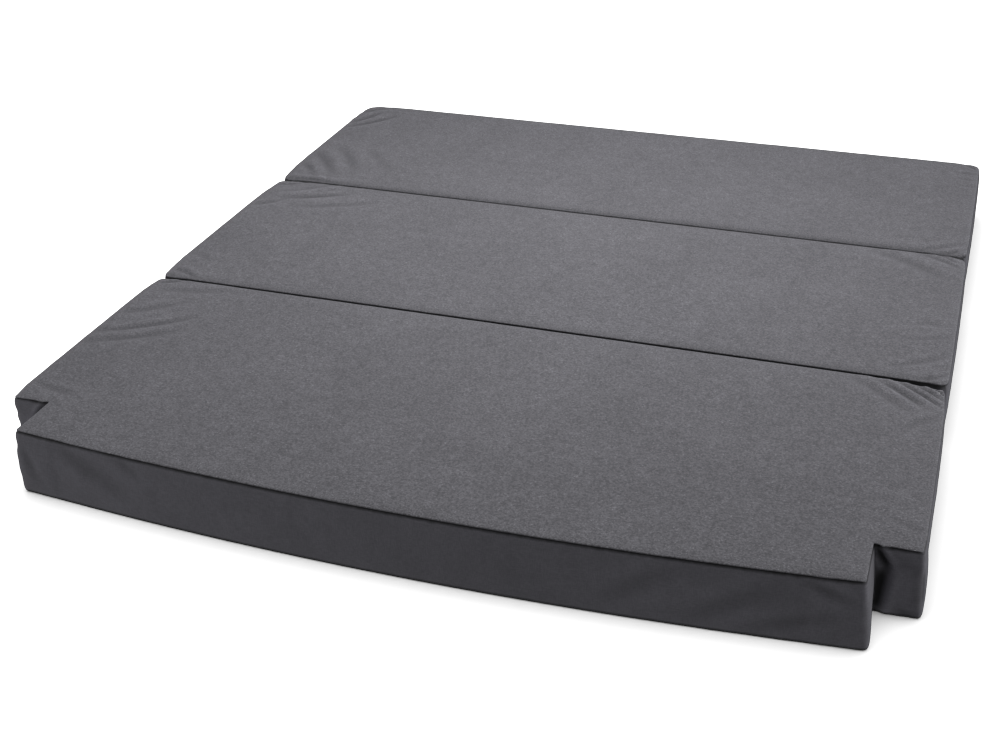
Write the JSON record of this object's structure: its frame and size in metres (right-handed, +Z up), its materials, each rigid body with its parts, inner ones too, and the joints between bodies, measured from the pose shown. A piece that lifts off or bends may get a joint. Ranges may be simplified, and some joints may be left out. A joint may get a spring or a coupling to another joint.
{
  "type": "futon mattress",
  "caption": "Foam mattress in panels joined by fabric hinges, which folds up in a Z; the front panel has a bowed edge and a notch at each corner.",
  "frame": {"origin": "middle of the underside, on the surface that the mattress lies on", "axes": "+X along the fold lines to the right, +Y from the bowed front edge to the rear, +Z up"},
  "size_m": [1.6033, 1.805, 0.13],
  "materials": {
    "top_fabric": "brushed melange velour",
    "border_fabric": "smooth woven",
    "base_fabric": "plain woven",
    "strip_fabric": "woven tape",
    "wadding": "polyester fibre",
    "foam": "open-cell foam",
    "zip_tape": "herringbone tape",
    "zip_nylon": "moulded nylon",
    "zip_metal": "satin black"
  },
  "bodies": {
    "rear_panel": {"rear_top_cover": "top_fabric", "rear_border": "border_fabric", "rear_base_cover": "base_fabric", "rear_wadding": "wadding", "rear_foam_core": "foam", "rear_zip_tapes": "zip_tape", "rear_zip_teeth": "zip_nylon", "rear_zip_stops": "zip_metal", "top_hinge_rear_half": "strip_fabric"},
    "middle_panel": {"middle_top_cover": "top_fabric", "middle_border": "border_fabric", "middle_base_cover": "base_fabric", "middle_wadding": "wadding", "middle_foam_core": "foam", "middle_zip_tapes": "zip_tape", "middle_zip_teeth": "zip_nylon", "middle_zip_stops": "zip_metal", "top_hinge_middle_half": "strip_fabric", "bottom_hinge_middle_half": "strip_fabric"},
    "front_panel": {"front_top_cover": "top_fabric", "front_border": "border_fabric", "front_base_cover": "base_fabric", "front_wadding": "wadding", "front_foam_core": "foam", "front_zip_tapes": "zip_tape", "front_zip_teeth": "zip_nylon", "front_zip_stops": "zip_metal", "bottom_hinge_front_half": "strip_fabric"},
    "rear_slider": {"rear_zip_slider": "zip_metal"},
    "rear_pull": {"rear_zip_pull": "zip_metal"},
    "middle_slider": {"middle_zip_slider": "zip_metal"},
    "middle_pull": {"middle_zip_pull": "zip_metal"},
    "front_slider": {"front_zip_slider": "zip_metal"},
    "front_pull": {"front_zip_pull": "zip_metal"}
  },
  "joints": [
    {"name": "middle_fold", "type": "hinge", "parent": "rear_panel", "child": "middle_panel", "pos_m": [0, 0.3425, 0.1305], "axis": [-1, 0, 0], "range_deg": [0, 180]},
    {"name": "front_fold", "type": "hinge", "parent": "middle_panel", "child": "front_panel", "pos_m": [0, -0.2325, -0.0005], "axis": [1, 0, 0], "range_deg": [0, 180]},
    {"name": "rear_zip_slide", "type": "slide", "parent": "rear_panel", "child": "rear_slider", "axis": [0, 1, 0], "range_m": [0, 0.4385]},
    {"name": "rear_pull_swing", "type": "hinge", "parent": "rear_slider", "child": "rear_pull", "pos_m": [-0.8021, 0.4045, 0.065], "axis": [0, 0, 1], "range_deg": [0, 170]},
    {"name": "middle_zip_slide", "type": "slide", "parent": "middle_panel", "child": "middle_slider", "axis": [0, 1, 0], "range_m": [0, 0.451]},
    {"name": "middle_pull_swing", "type": "hinge", "parent": "middle_slider", "child": "middle_pull", "pos_m": [-0.8021, -0.1705, 0.065], "axis": [0, 0, 1], "range_deg": [0, 170]},
    {"name": "front_zip_slide", "type": "slide", "parent": "front_panel", "child": "front_slider", "axis": [0, 1, 0], "range_m": [0, 0.4085]},
    {"name": "front_pull_swing", "type": "hinge", "parent": "front_slider", "child": "front_pull", "pos_m": [-0.8021, -0.703, 0.065], "axis": [0, 0, 1], "range_deg": [0, 170]}
  ]
}
